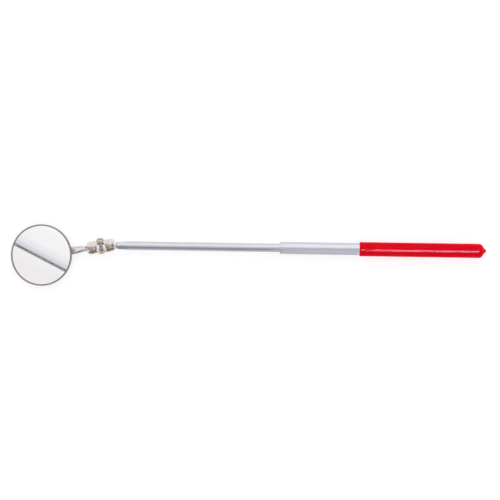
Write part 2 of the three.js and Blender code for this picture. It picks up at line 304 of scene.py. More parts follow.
@finish
def bright_chrome_tube(tree, place):
    """Chrome plate over a drawn steel tube: a hard bright reflection that the faint lines left
    by drawing smear along the tube, with a little haze from handling."""
    base = tuple(colours().chrome)
    # Draw lines are about 0.3 mm apart and run for a few centimetres.
    lines = pattern(tree, place, (35, 3300, 3300), 2)
    # Handling haze comes in patches of about 12 mm.
    patches = pattern(tree, place, (60, 90, 90), 4)
    streaks = mottled(tree, lines, base, 0.93, 1.02)
    hazed = mottled(tree, patches, base, 0.95, 1.03)
    tint = mixed(tree, ranged(tree, patches, 0.35, 0.65), streaks, hazed)
    roughness = ranged(tree, patches, 0.05, 0.1)
    metal(tree, tint, roughness, relief(tree, lines, 0.000004))


@finish
def nickel_plated_steel(tree, place):
    """Nickel plate over pressed and turned steel: a warm silver, softer than chrome, with the
    fine dents and rubs that barrel plating leaves."""
    # Barrel dents are about 0.8 mm across, and rubbed patches about 4 mm.
    dents = pattern(tree, place, (1250, 1250, 1250), 4)
    rubs = pattern(tree, place, (260, 260, 260), 3)
    tint = mottled(tree, rubs, tuple(colours().nickel), 0.9, 1.05)
    roughness = ranged(tree, dents, 0.16, 0.3)
    metal(tree, tint, roughness, relief(tree, dents, 0.000012))


@finish
def clear_zinc_plate(tree, place):
    """Clear zinc plate on small hardware: a satin grey that leans to green and straw, in the
    uneven film that passivation leaves."""
    base = tuple(colours().zinc)
    # The film changes colour over about 1.5 mm, and the plate's grain is about 0.25 mm.
    film = pattern(tree, place, (650, 650, 650), 3)
    grain = pattern(tree, place, (4000, 4000, 4000), 2)
    straw = shade((base[0] * 1.06, base[1], base[2] * 0.9), 1.02)
    tint = mixed(tree, ranged(tree, film, 0, 1), shade(base, 0.86), straw)
    roughness = ranged(tree, film, 0.24, 0.4)
    metal(tree, tint, roughness, relief(tree, grain, 0.000006))


@finish
def dulled_turned_brass(tree, place):
    """Turned free-cutting brass that has dulled: yellow where it is rubbed, brown where it has
    tarnished, with fine turning lines."""
    base = tuple(colours().brass)
    # Tarnish lies in patches of about 2 mm, and the tool marks are about 0.2 mm apart.
    tarnish = pattern(tree, place, (480, 480, 480), 5)
    marks = pattern(tree, place, (5000, 300, 300), 1)
    brown = (base[0] * 0.55, base[1] * 0.48, base[2] * 0.42, 1)
    tint = mixed(tree, ranged(tree, tarnish, 0, 1, 0.42, 0.75), base, brown)
    roughness = ranged(tree, tarnish, 0.18, 0.42)
    metal(tree, tint, roughness, relief(tree, marks, 0.000003))


@finish
def pressed_rim_steel(tree, place):
    """Pressed steel with a grey plate: satin, a little warm, with the rings that trimming and
    rolling the rim leave round its axis."""
    centre = HEAD @ Vector((-MIRROR_ALONG * MM, 0, 0))
    from_centre = in_frame(tree, place, centre, HEAD.to_euler())
    flat = vector_math(tree, "MULTIPLY", from_centre, (1, 1, 0))["Vector"]
    radius = vector_math(tree, "LENGTH", flat)["Value"]
    # Rings are about 0.25 mm apart, and the plate's patches about 7 mm across.
    inputs = {"W": radius, "Scale": 4000.0, "Detail": 2.0}
    rings = add(tree, "ShaderNodeTexNoise", inputs, noise_dimensions="1D").outputs["Fac"]
    patches = pattern(tree, place, (140, 140, 140), 3)
    tint = mottled(tree, patches, tuple(colours().rim), 0.84, 1.1)
    roughness = ranged(tree, rings, 0.22, 0.36)
    metal(tree, tint, roughness, relief(tree, rings, 0.000005))


@finish
def dip_moulded_vinyl(tree, place):
    """Plastisol vinyl, dipped and cured: a deep even red under a wet-looking skin with slight
    orange peel and a few duller, rubbed patches."""
    # Orange peel is about 1.2 mm across, and rubbed patches about 15 mm long.
    peel = pattern(tree, place, (420, 800, 800), 2)
    rubbed = pattern(tree, place, (55, 120, 120), 4)
    surface(tree, {
        "Base Color": mottled(tree, rubbed, tuple(colours().vinyl), 0.93, 1.07),
        "Roughness": ranged(tree, rubbed, 0.11, 0.17),
        "IOR": 1.53,
        "Specular IOR Level": 0.03,
        "Normal": relief(tree, peel, 0.00001),
    })


@finish
def silvered_float_glass(tree, place):
    """Float glass silvered on its back: an almost perfect reflection, very slightly warm, with
    a trace of dust and wiping."""
    # Wiping marks are about 3 mm wide and run across the glass.
    wipes = pattern(tree, place, (110, 420, 300), 4, turn=(0, 0, math.radians(28)))
    surface(tree, {
        "Base Color": mottled(tree, wipes, tuple(colours().silver), 0.985, 1),
        "Metallic": 1.0,
        "Roughness": ranged(tree, wipes, 0.012, 0.03, 0.4, 0.8),
    })


@finish
def pressed_wool_felt(tree, place):
    """Pressed wool felt: matt, mottled and hairy."""
    # Fibre clumps are about 0.5 mm across.
    fibres = pattern(tree, place, (2000, 2000, 2000), 6)
    surface(tree, {
        "Base Color": mottled(tree, fibres, tuple(colours().felt), 0.6, 1.3),
        "Roughness": 0.95,
        "Sheen Weight": 0.4,
        "Normal": relief(tree, fibres, 0.0001),
    })


# ---- Mesh code ----

def placed(name, data):
    """An object in the scene."""
    made = bpy.data.objects.new(name, data)
    bpy.context.scene.collection.objects.link(made)
    return made


def closed_mesh(name, points, faces, place, crease=32):
    """A closed smooth mesh from points in millimetres in the frame place, with its doubles
    merged, its faces turned outward and its edges sharp past crease degrees."""
    mesh = bpy.data.meshes.new(name)
    mesh.from_pydata([Vector(point) * MM for point in points], [], faces)
    shell = bmesh.new()
    shell.from_mesh(mesh)
    bmesh.ops.remove_doubles(shell, verts=shell.verts, dist=0.002 * MM)
    bmesh.ops.dissolve_degenerate(shell, edges=shell.edges, dist=0.001 * MM)
    bmesh.ops.recalc_face_normals(shell, faces=shell.faces)
    shell.to_mesh(mesh)
    shell.free()
    mesh.transform(place)
    soften(mesh, crease)
    return mesh


def soften(mesh, crease=32):
    """Smooth shading, with edges sharp past crease degrees."""
    mesh.polygons.foreach_set("use_smooth", [True] * len(mesh.polygons))
    mesh.set_sharp_from_angle(angle=math.radians(crease))
    mesh.update()


def rounded(corners, steps=5):
    """A profile through (along, radius) or (along, radius, bend) corners. A corner with a bend
    gets a round of about that radius, and a point on each side of it that keeps the flats flat."""
    guard_length, longest_reach = 0.15, 0.49
    points = []
    for index, corner in enumerate(corners):
        here = Vector(corner[:2])
        bend = corner[2] if len(corner) > 2 else 0
        if not bend:
            points.append(tuple(here))
            continue
        before = Vector(corners[index - 1][:2]) - here
        after = Vector(corners[(index + 1) % len(corners)][:2]) - here
        angle = before.angle(after)
        shortest = min(before.length, after.length)
        reach = min(bend / math.tan(angle / 2), shortest * longest_reach)
        start = here + before.normalized() * reach
        end = here + after.normalized() * reach
        guard = min(guard_length, (before.length - reach) * 0.3)
        points.append(tuple(start + before.normalized() * guard))
        for step in range(steps + 1):
            t = step / steps
            point = start * (1 - t) ** 2 + here * 2 * t * (1 - t) + end * t ** 2
            points.append(tuple(point))
        guard = min(guard_length, (after.length - reach) * 0.3)
        points.append(tuple(end + after.normalized() * guard))
    return points


def lengths(start, end, steps):
    """Evenly spaced numbers from start to end."""
    return [start + (end - start) * step / steps for step in range(steps + 1)]


def band(first, second, around):
    """The faces between two rings of points, from the numbers of the rings' first points."""
    faces = []
    for step in range(around):
        after = (step + 1) % around
        faces.append((first + step, first + after, second + after, second + step))
    return faces


def turned(name, profile, place, axis="X", around=96, crease=32):
    """A turned piece from (along, radius) points that start and end on the axis, or that go
    round a wall's section, about the X or Z axis of place."""
    points = []
    for along, radius in profile:
        for step in range(around):
            angle = 2 * math.pi * step / around
            across, up = radius * math.cos(angle), radius * math.sin(angle)
            points.append((along, across, up) if axis == "X" else (across, up, along))
    faces = []
    rows = len(profile)
    starts_on_axis = profile[0][1] == 0
    for row in range(rows - 1 if starts_on_axis else rows):
        faces += band(row * around, (row + 1) % rows * around, around)
    return closed_mesh(name, points, faces, place, crease)


def lofted(name, rings, place, crease=40):
    """A closed piece through rings of points, capped at both ends."""
    points = [point for ring in rings for point in ring]
    around = len(rings[0])
    last = len(points) - around
    faces = []
    for row in range(0, last, around):
        faces += band(row, row + around, around)
    faces += [tuple(range(around)), tuple(range(last, len(points)))]
    return closed_mesh(name, points, faces, place, crease)


def piece(name, mesh, material, node):
    """A finished piece that stands for a CAD node, wears its slot and rides on its body."""
    mesh.materials.clear()
    mesh.materials.append(material)
    made = placed(name, mesh)
    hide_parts(node)
    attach(made, frame["nodes"][node]["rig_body"])


# ---- Geometry Nodes ----

def new_tree(name, inputs):
    """A geometry tree with a mesh in and out, a material, and named inputs with their kinds.
    Gives the tree and the group input's sockets."""
    tree = bpy.data.node_groups.new(name, "GeometryNodeTree")
    tree.interface.new_socket("Geometry", in_out="INPUT", socket_type="NodeSocketGeometry")
    tree.interface.new_socket("Geometry", in_out="OUTPUT", socket_type="NodeSocketGeometry")
    for label, kind in {**inputs, "Material": "Material"}.items():
        tree.interface.new_socket(label, in_out="INPUT", socket_type="NodeSocket" + kind)
    return tree, tree.nodes.new("NodeGroupInput").outputs


def end_tree(tree, given, geometry):
    """Makes instances real, sets the given material and ends the tree."""
    real = add(tree, "GeometryNodeRealizeInstances", {"Geometry": geometry}).outputs["Geometry"]
    inputs = {"Geometry": real, "Material": given["Material"]}
    painted = add(tree, "GeometryNodeSetMaterial", inputs).outputs["Geometry"]
    add(tree, "NodeGroupOutput", {"Geometry": painted})
    return tree


def joined_geometry(tree, *parts):
    """Several pieces of geometry as one."""
    both = tree.nodes.new("GeometryNodeJoinGeometry")
    for part in parts:
        tree.links.new(part, both.inputs["Geometry"])
    return both.outputs["Geometry"]


def axis_distance(tree, place):
    """How far a place is from the X axis."""
    radial = vector_math(tree, "MULTIPLY", place, (0, 1, 1))["Vector"]
    return vector_math(tree, "LENGTH", radial)["Value"]


def plain_mesh(carrier, name):
    """The mesh that an object's modifiers make."""
    bpy.context.view_layer.update()
    evaluated = carrier.evaluated_get(bpy.context.evaluated_depsgraph_get())
    result = bpy.data.meshes.new_from_object(evaluated)
    result.name = name
    return result


def grown(name, mesh, tree, place, crease, values):
    """The plain mesh that a tree makes from mesh with its named inputs set, moved from its own
    axis to its place, with its edges sharp past crease degrees."""
    carrier = placed(name, mesh)
    modifier = carrier.modifiers.new(name, "NODES")
    modifier.node_group = tree
    for socket in tree.interface.items_tree:
        if socket.item_type == "SOCKET" and socket.in_out == "INPUT" and socket.name in values:
            modifier[socket.identifier] = values[socket.name]
    result = plain_mesh(carrier, name)
    carrier.modifiers.remove(modifier)
    bpy.data.objects.remove(carrier)
    result.transform(place)
    soften(result, crease)
    return result


def swage_tree():
    """Flats pressed round a tube's nose by a tapered die. Each flat's face rises away from the
    axis, so it ends in a point where it meets the round tube. The tube's axis is X."""
    tree, given = new_tree("swaged_flats", {
        "Flats": "Int",
        "Turn": "Float",
        "Start": "Float",
        "Reach": "Float",
        "Start radius": "Float",
        "Tube radius": "Float",
    })
    place = add(tree, "GeometryNodeInputPosition").outputs["Position"]
    parts = add(tree, "ShaderNodeSeparateXYZ", {"Vector": place}).outputs
    radius = axis_distance(tree, place)
    angle = math_of(tree, "ARCTAN2", parts["Z"], parts["Y"])
    share = math_of(tree, "DIVIDE", 2 * math.pi, given["Flats"])
    turned_by = math_of(tree, "FLOORED_MODULO", math_of(tree, "ADD", angle, given["Turn"]), share)
    from_middle = math_of(tree, "SUBTRACT", turned_by, math_of(tree, "MULTIPLY", share, 0.5))
    face = add(tree, "ShaderNodeMapRange", {
        "Value": parts["X"],
        "From Min": given["Start"],
        "From Max": given["Reach"],
        "To Min": given["Start radius"],
        "To Max": given["Tube radius"],
    })
    face.clamp = False
    reach = math_of(tree, "DIVIDE", face.outputs["Result"], math_of(tree, "COSINE", from_middle))
    less = math_of(tree, "MINIMUM", math_of(tree, "DIVIDE", reach, radius), 1.0)
    # The bore, which is less than 0.87 of the tube's radius, is left as it is.
    bore = math_of(tree, "MULTIPLY", given["Tube radius"], 0.87)
    is_outside = math_of(tree, "GREATER_THAN", radius, bore)
    change = math_of(tree, "MULTIPLY", math_of(tree, "SUBTRACT", less, 1.0), is_outside)
    scale = math_of(tree, "ADD", change, 1.0)
    factors = add(tree, "ShaderNodeCombineXYZ", {"X": 1.0, "Y": scale, "Z": scale}).outputs["Vector"]
    moved = vector_math(tree, "MULTIPLY", place, factors)["Vector"]
    inputs = {"Geometry": given["Geometry"], "Position": moved}
    pressed = add(tree, "GeometryNodeSetPosition", inputs)
    return end_tree(tree, given, pressed.outputs["Geometry"])


def ripple_tree():
    """A dipped skin's slow ripple: the surface sinks by up to Depth in long soft runs, beyond
    the radius Outside, from a fixed seed."""
    tree, given = new_tree("dipped_ripple", {
        "Depth": "Float",
        "Run length": "Float",
        "Run width": "Float",
        "Outside": "Float",
        "Seed": "Float",
    })
    place = add(tree, "GeometryNodeInputPosition").outputs["Position"]
    normal = add(tree, "GeometryNodeInputNormal").outputs["Normal"]
    per_length = math_of(tree, "DIVIDE", 1.0, given["Run length"])
    per_width = math_of(tree, "DIVIDE", 1.0, given["Run width"])
    rates = add(tree, "ShaderNodeCombineXYZ", {"X": per_length, "Y": per_width, "Z": per_width})
    scaled = vector_math(tree, "MULTIPLY", place, rates.outputs["Vector"])["Vector"]
    inputs = {"Vector": scaled, "W": given["Seed"], "Scale": 1.0, "Detail": 2.0}
    noise = add(tree, "ShaderNodeTexNoise", inputs, noise_dimensions="4D").outputs["Fac"]
    radius = axis_distance(tree, place)
    outer = math_of(tree, "GREATER_THAN", radius, given["Outside"])
    sink = math_of(tree, "MULTIPLY", math_of(tree, "MULTIPLY", noise, given["Depth"]), outer)
    inward = {0: normal, "Scale": math_of(tree, "MULTIPLY", sink, -1.0)}
    offset = add(tree, "ShaderNodeVectorMath", inward, operation="SCALE").outputs["Vector"]
    inputs = {"Geometry": given["Geometry"], "Offset": offset}
    rippled = add(tree, "GeometryNodeSetPosition", inputs)
    return end_tree(tree, given, rippled.outputs["Geometry"])


def thread_tree():
    """A helical thread about the Z axis, joined to the blank that comes in."""
    tree, given = new_tree("helical_thread", {
        "Core radius": "Float",
        "Pitch": "Float",
        "Height": "Float",
        "Start": "Float",
        "Length": "Float",
    })
    turns = math_of(tree, "DIVIDE", given["Length"], given["Pitch"])
    helix = add(tree, "GeometryNodeCurveSpiral", {
        "Resolution": 40,
        "Rotations": turns,
        "Start Radius": given["Core radius"],
        "End Radius": given["Core radius"],
        "Height": given["Length"],
    })
    section = {"Resolution": 6, "Radius": given["Height"]}
    ridge = add(tree, "GeometryNodeCurvePrimitiveCircle", section)
    swept = add(tree, "GeometryNodeCurveToMesh", {
        "Curve": helix.outputs["Curve"],
        "Profile Curve": ridge.outputs["Curve"],
        "Fill Caps": True,
    })
    rise = add(tree, "ShaderNodeCombineXYZ", {"Z": given["Start"]})
    inputs = {"Geometry": swept.outputs["Mesh"], "Translation": rise.outputs["Vector"]}
    lifted = add(tree, "GeometryNodeTransform", inputs).outputs["Geometry"]
    return end_tree(tree, given, joined_geometry(tree, given["Geometry"], lifted))


def weld_tree():
    """The raised rings that a spot welder's tip leaves, in a row along X from Start to End at
    one height, joined to the piece that comes in."""
    tree, given = new_tree("spot_weld_rings", {
        "Count": "Int",
        "Radius": "Float",
        "Start": "Vector",
        "End": "Vector",
    })
    ends = {"Count": given["Count"], "Start Location": given["Start"], "Offset": given["End"]}
    row = add(tree, "GeometryNodeMeshLine", ends, mode="END_POINTS").outputs["Mesh"]
    bead_radius = math_of(tree, "MULTIPLY", given["Radius"], 0.12)
    ring, bead = (
        add(tree, "GeometryNodeCurvePrimitiveCircle", {"Resolution": sides, "Radius": radius})
        for sides, radius in ((32, given["Radius"]), (10, bead_radius))
    )
    curves = {"Curve": ring.outputs["Curve"], "Profile Curve": bead.outputs["Curve"]}
    swept = add(tree, "GeometryNodeCurveToMesh", curves).outputs["Mesh"]
    rings = add(tree, "GeometryNodeInstanceOnPoints", {"Points": row, "Instance": swept})
    both = joined_geometry(tree, given["Geometry"], rings.outputs["Instances"])
    return end_tree(tree, given, both)


# ---- Pieces ----

class INSPECTION_OT_tubes(bpy.types.Operator):
    """Make the outer tube with its rolled mouth and the inner tube with its swaged nose"""

    bl_idname = "inspection_mirror.tubes"
    bl_label = "Tubes"

    def execute(self, context):
        chrome = bright_chrome_tube()
        bend = sizes().lip_bend / MM
        bore = TUBE_RADIUS - TUBE_WALL
        lip_bore, lip_end = 4.35, TUBE_MOUTH + 1.1
        outer = rounded([
            (TUBE_MOUTH, lip_bore + 0.3),
            (TUBE_MOUTH, TUBE_RADIUS, bend),
            (TUBE_MOUTH + 30, TUBE_RADIUS),
            (TUBE_END, TUBE_RADIUS, 0.15),
            (TUBE_END, bore, 0.15),
            (lip_end, bore, 0.3),
            (lip_end, lip_bore, 0.3),
            (TUBE_MOUTH + 0.25, lip_bore, 0.15),
        ], 8)
        mesh = turned("drawn_outer_tube", outer, TOOL, around=128)
        piece("drawn_outer_tube", mesh, chrome, "outer_tube")

        # The nose is a quarter round outside and inside, and the flats are pressed over it.
        # It reaches the tube's full radius at full, and the flats lean out from flats_start.
        nose_radius, nose_bore, full = 2.95, 2.35, 11.6
        flats_turn, flats_start, flats_radius = 30, 8, 3.42
        bore = INNER_RADIUS - TUBE_WALL
        reach = sizes().swage_reach / MM
        outside, inside = (
            [
                (full - (full - NOSE) * math.cos(a), start + (end - start) * math.sin(a))
                for a in map(math.radians, lengths(0, 90, 14))
            ]
            for start, end in ((nose_radius, INNER_RADIUS), (nose_bore, bore))
        )
        profile = outside
        profile += [(along, INNER_RADIUS) for along in lengths(full, reach + 1, 30)[1:]]
        profile += [(INNER_END - 0.6, INNER_RADIUS)]
        profile += [(INNER_END - 0.2, INNER_RADIUS), (INNER_END, INNER_RADIUS - 0.2)]
        profile += [(INNER_END, bore + 0.1), (INNER_END - 0.1, bore)]
        profile += [(INNER_END - 0.6, bore)]
        profile += inside[::-1]
        blank = turned("swaged_inner_tube", profile, Matrix(), around=192)
        mesh = grown("swaged_inner_tube", blank, swage_tree(), TOOL, 50, {
            "Flats": sizes().swage_flats,
            "Turn": math.radians(flats_turn),
            "Start": flats_start * MM,
            "Reach": sizes().swage_reach,
            "Start radius": flats_radius * MM,
            "Tube radius": INNER_RADIUS * MM,
            "Material": chrome,
        })
        piece("swaged_inner_tube", mesh, chrome, "inner_tube")
        return {"FINISHED"}


class INSPECTION_OT_grip(bpy.types.Operator):
    """Make the dipped vinyl grip with its soft lip, its ripple and the nub of its last drip"""

    bl_idname = "inspection_mirror.grip"
    bl_label = "Grip"

    def execute(self, context):
        vinyl = dip_moulded_vinyl()
        # The sleeve clears the tube by 0.2 mm, and its last 7.1 mm run out to the nub.
        inside = TUBE_RADIUS + 0.2
        shoulder = GRIP_TIP - 7.1
        # From the shoulder to the tip: how far along, and what share of the radius is left.
        run_out = (
            (1.4, 0.972), (2.5, 0.89), (3.3, 0.75), (3.9, 0.61), (4.6, 0.455),
            (5.3, 0.33), (6.0, 0.235), (6.6, 0.15), (6.95, 0.08),
        )
        profile = [(PLUG_FACE + 0.3, 0), (PLUG_FACE + 0.3, inside - 0.3), (PLUG_FACE, inside)]
        profile += [(along, inside) for along in lengths(PLUG_FACE - 2, GRIP_FRONT + 0.4, 24)]
        # The ripple only sinks the skin, by 0.4 to 0.9 of its depth, so this starts larger.
        radius = GRIP_RADIUS + sizes().grip_ripple / MM * 0.8
        profile += rounded([
            (GRIP_FRONT + 0.3, inside),
            (GRIP_FRONT, inside, 0.12),
            (GRIP_FRONT, radius, 0.34),
            (GRIP_FRONT + 1.2, radius),
        ])
        profile += [(along, radius) for along in lengths(GRIP_FRONT + 1.4, shoulder, 220)]
        profile += [(shoulder + along, radius * share) for along, share in run_out]
        profile += [(GRIP_TIP, 0)]
        blank = turned("dipped_grip", profile, Matrix(), around=128, crease=60)
        mesh = grown("dipped_grip", blank, ripple_tree(), TOOL, 60, {
            "Depth": sizes().grip_ripple,
            "Run length": 0.011,
            "Run width": 0.0055,
            "Outside": (inside + 0.3) * MM,
            "Seed": 3.0,
            "Material": vinyl,
        })
        piece("dipped_grip", mesh, vinyl, "grip_sleeve")
        return {"FINISHED"}


class INSPECTION_OT_balls(bpy.types.Operator):
    """Make the two turned brass balls and the stud that carries the rear one"""

    bl_idname = "inspection_mirror.balls"
    bl_label = "Balls and stud"

    def execute(self, context):
        brass = dulled_turned_brass()
        nickel = nickel_plated_steel()
        between = [math.pi * step / 48 for step in range(1, 48)]
        profile = [(-BALL_RADIUS * math.cos(a), BALL_RADIUS * math.sin(a)) for a in between]
        profile = [(-BALL_RADIUS, 0), *profile, (BALL_RADIUS, 0)]
        for node, place in (("rear_ball", TOOL), ("front_ball", HEAD)):
            mesh = turned("turned_" + node, profile, place)
            piece("turned_" + node, mesh, brass, node)

        # Where each part of the stud begins, and its radius.
        start, neck = BALL_RADIUS - NECK_DEPTH, 1.6
        flange_start, flange_end, flange = 6.03, NOSE - 0.2, 2.68
        shank, seat_start, seat = 2.15, 12.6, 3.25
        stud = rounded([
            (start, 0),
            (start, neck + 0.15, 0.1),
            (4.6, neck, 0.3),
            (flange_start, neck, 0.12),
            (flange_start, flange, 0.15),
            (flange_end, flange, 0.15),
            (flange_end, shank),
            (seat_start, shank),
            (seat_start, seat, 0.2),
            (STUD_END, seat, 0.3),
            (STUD_END, 0),
        ])
        mesh = turned("turned_rear_stud", stud, TOOL, around=72)
        piece("turned_rear_stud", mesh, nickel, "rear_stud")
        return {"FINISHED"}


def plate_mesh(name, place, edge, fillet):
    """A pressed plate with a dome over each ball, above the middle plane of the clamp.

    Every point of the outline is joined by a straight line to a point of a spine: the two
    lines from the ball centres to the screw's hole, and the hole's own edge. The outline
    between -fan and fan goes to the hole."""
    # A lobe runs round each ball, up to this angle from the plate's long axis. The waist, one
    # soft bend, joins the two lobes.
    half, lobe, turn = SPACING / 2, 5.2, math.radians(110)
    # The screw's hole, and the flat's inner and outer levels.
    hole, inside, outside = 2.05, 3.0, 4.1
    pocket, dome = BALL_RADIUS + 0.3, BALL_RADIUS + 1.4
    waist_x = lobe * math.cos(turn) + half
    waist_y = lobe * math.sin(turn)
    low_point = waist_y + waist_x / math.tan(turn)

    quarter = [(half + lobe * math.cos(a), lobe * math.sin(a)) for a in lengths(0, turn, 44)]
    for t in lengths(0, 0.5, 34)[1:]:
        x = waist_x * (1 - t) ** 2 - waist_x * t ** 2
        y = waist_y * ((1 - t) ** 2 + t ** 2) + low_point * 2 * t * (1 - t)
        quarter.append((x, y))
    # The fan ends at the first outline point that lies further along than this.
    past_screw = 4.5
    fan = min(x for x, y in quarter if x > past_screw)
    upper = quarter + [(-x, y) for x, y in quarter[-2::-1]]
    outline = upper + [(x, -y) for x, y in upper[-2:0:-1]]

    def spine(x, y):
        side = 1 if y >= 0 else -1
        if abs(x) >= half:
            return math.copysign(half, x), 0
        if abs(x) >= fan:
            return math.copysign(hole + (abs(x) - fan) / (half - fan) * (half - hole), x), 0
        angle = math.pi / 2 * (1 - x / fan)
        return hole * math.cos(angle), side * hole * math.sin(angle)

    def over(radius, level, x, y):
        away = math.hypot(abs(x) - half, y)
        top = math.sqrt(max(radius ** 2 - away ** 2, 0.0))
        gap = max(fillet - abs(top - level), 0) / fillet
        return max(top, level) + gap * gap * fillet / 4

    # Rows lie close together over the rounded edge, and evenly from there to the spine.
    steps = [0, 0.03, 0.1, 0.22, 0.4, 0.65, 1]
    rows = 30
    even = rows - len(steps)
    points = []
    for x, y in outline:
        to_x, to_y = spine(x, y)
        length = math.hypot(to_x - x, to_y - y)
        away = [edge * step for step in steps]
        away += [edge + (length - edge) * (row / even) for row in range(1, even + 1)]
        for radius, level, sign in ((dome, outside, -1), (pocket, inside, 0.5)):
            for distance in away:
                t = min(distance / length, 1)
                px, py = x + (to_x - x) * t, y + (to_y - y) * t
                drop = edge - math.sqrt(max(edge ** 2 - max(edge - distance, 0) ** 2, 0))
                points.append((px, py, over(radius, level, px, py) + drop * sign))
    faces = []
    for index, (x, y) in enumerate(outline):
        following = (index + 1) % len(outline)
        here, after = index * 2 * rows, following * 2 * rows
        for row in range(rows - 1):
            a, b = here + row, after + row
            faces.append((a, a + 1, b + 1, b))
            faces.append((a + rows, b + rows, b + rows + 1, a + rows + 1))
        faces.append((here, after, after + rows, here + rows))
        if max(abs(x), abs(outline[following][0])) < fan + 0.001:
            a, b = here + rows - 1, after + rows - 1
            faces.append((a, a + rows, b + rows, b))
    return closed_mesh(name, points, faces, place, 40)


class INSPECTION_OT_plates(bpy.types.Operator):
    """Make the two pressed clamp plates, domed over the balls"""

    bl_idname = "inspection_mirror.plates"
    bl_label = "Clamp plates"

    def execute(self, context):
        nickel = nickel_plated_steel()
        edge, fillet = sizes().plate_edge / MM, sizes().dome_fillet / MM
        over = CLAMP @ Matrix.Rotation(math.pi, 4, "X")
        for node, place in (("upper_clamp_plate", CLAMP), ("lower_clamp_plate", over)):
            mesh = plate_mesh("pressed_" + node, place, edge, fillet)
            piece("pressed_" + node, mesh, nickel, node)
        return {"FINISHED"}


def hexagon_mesh(name, base, height, flats, hole, chamfer, place):
    """A hexagon nut with its corners turned off and its hole countersunk, about Z."""
    around = 144
    flat = flats / 2
    slope = chamfer / (flats / math.sqrt(3) - flat)
    points = []
    for step in range(around):
        angle = 2 * math.pi * step / around
        local = (angle + math.pi / 6) % (math.pi / 3) - math.pi / 6
        side = flat / math.cos(local)
        side_drop = (side - flat) * slope
        # Each point's radius, and how far it is below the top.
        section = [
            (hole, 0.35), (hole + 0.3, 0.02), (hole + 0.4, 0), (flat * 0.93, 0),
            (flat * 0.985, 0.03), (side - 0.03, side_drop), (side, side_drop + 0.06),
        ]
        ring = section + [(radius, height - drop) for radius, drop in section[::-1]]
        for radius, drop in ring:
            level = base + height - drop
            points.append((radius * math.cos(angle), radius * math.sin(angle), level))
    faces = []
    rows = len(points) // around
    for step in range(around):
        faces += band(step * rows, (step + 1) % around * rows, rows)
    return closed_mesh(name, points, faces, place, 28)


def washer_mesh(name, base, height, hole, radius, slit, place):
    """A split lock washer, whose cut ends stand a little apart, about Z."""
    # The slit's direction and half its angle, and how far one end stands over the other.
    middle_angle = math.pi / 5
    half_slit = slit / 2 / ((hole + radius) / 2)
    bend, rise = 0.08, 0.24
    rings = []
    for t in lengths(0, 1, 90):
        angle = middle_angle + half_slit + (2 * math.pi - 2 * half_slit) * t
        lift = (t - 0.5) * rise
        section = rounded([
            (hole, base, bend),
            (radius, base, bend),
            (radius, base + height, bend),
            (hole, base + height, bend),
        ], 3)
        c, s = math.cos(angle), math.sin(angle)
        rings.append([(r * c, r * s, level + lift) for r, level in section])
    return lofted(name, rings, place, 35)


def cross_recess(mesh, top, recess, width):
    """Cuts a tapered cross into the head of a screw whose head faces down Z."""
    for turn in (0, 90):
        rings = []
        # The bar is wider outside the head than at the recess's floor.
        for level, share in ((top - 0.5, 1.1), (top + 1.15, 0.62)):
            a, b = recess / 2 * share, width / 2 * (0.7 + 0.3 * share)
            rings.append([(a, b, level), (-a, b, level), (-a, -b, level), (a, -b, level)])
        upright = Matrix.Rotation(math.radians(turn), 4, "Z")
        bar = placed("recess_bar", lofted("recess_bar", rings, upright))
        body = placed("recess_body", mesh)
        knife = body.modifiers.new("recess", "BOOLEAN")
        knife.operation = "DIFFERENCE"
        knife.solver = "EXACT"
        knife.object = bar
        mesh = plain_mesh(body, "recessed_screw")
        bpy.data.objects.remove(body)
        bpy.data.objects.remove(bar)
    return mesh


class INSPECTION_OT_fastening(bpy.types.Operator):
    """Make the clamp's threaded screw, its hexagon nut and its split lock washer"""

    bl_idname = "inspection_mirror.fastening"
    bl_label = "Screw, nut and washer"

    def execute(self, context):
        zinc = clear_zinc_plate()
        # The thread's height, and the radius of the thread and of the head.
        height, radius, head = sizes().thread_height / MM, 1.75, 3.3
        core = radius - height
        under, top = -WASHER_BASE, -WASHER_BASE - 2.8
        end = NUT_BASE + NUT_HEIGHT - 0.6
        thread_start, thread_end = under + 1.2, end - 0.5
        profile = rounded([
            (top, 0),
            (top + 0.02, head * 0.55, 0.5),
            (top + 0.75, head * 0.97, 0.9),
            (top + 1.7, head, 0.3),
            (under, head - 0.05, 0.2),
            (under, core + 0.3, 0.15),
            (under + 0.9, core),
            (end - 0.3, core, 0.1),
            (end, core - 0.3, 0.1),
            (end, 0),
        ], 6)
        recess, recess_width = 3.6, 0.95
        plain = turned("threaded_screw", profile, Matrix(), "Z", 64)
        blank = cross_recess(plain, top, recess, recess_width)
        mesh = grown("threaded_screw", blank, thread_tree(), CLAMP, 35, {
            "Core radius": core * MM,
            "Pitch": sizes().thread_pitch,
            "Height": height * MM,
            "Start": thread_start * MM,
            "Length": (thread_end - thread_start) * MM,
            "Material": zinc,
        })
        piece("threaded_screw", mesh, zinc, "clamp_screw")

        flats, hole, chamfer = 6.35, 1.9, sizes().nut_chamfer / MM
        place = CLAMP @ Matrix.Rotation(math.pi / 6, 4, "Z")
        nut = hexagon_mesh("hexagon_nut", NUT_BASE, NUT_HEIGHT, flats, hole, chamfer, place)
        piece("hexagon_nut", nut, zinc, "clamp_nut")
        base, thick, hole, rim, slit = WASHER_BASE + 0.12, 0.6, 2.05, 3.05, 0.8
        washer = washer_mesh("split_lock_washer", base, thick, hole, rim, slit, CLAMP)
        piece("split_lock_washer", washer, zinc, "lock_washer")
        return {"FINISHED"}


def smooth(value, start, stop):
    """How far a value is from start to stop, with a soft start and stop."""
    t = min(max((value - start) / (stop - start), 0), 1)
    return t * t * (3 - 2 * t)


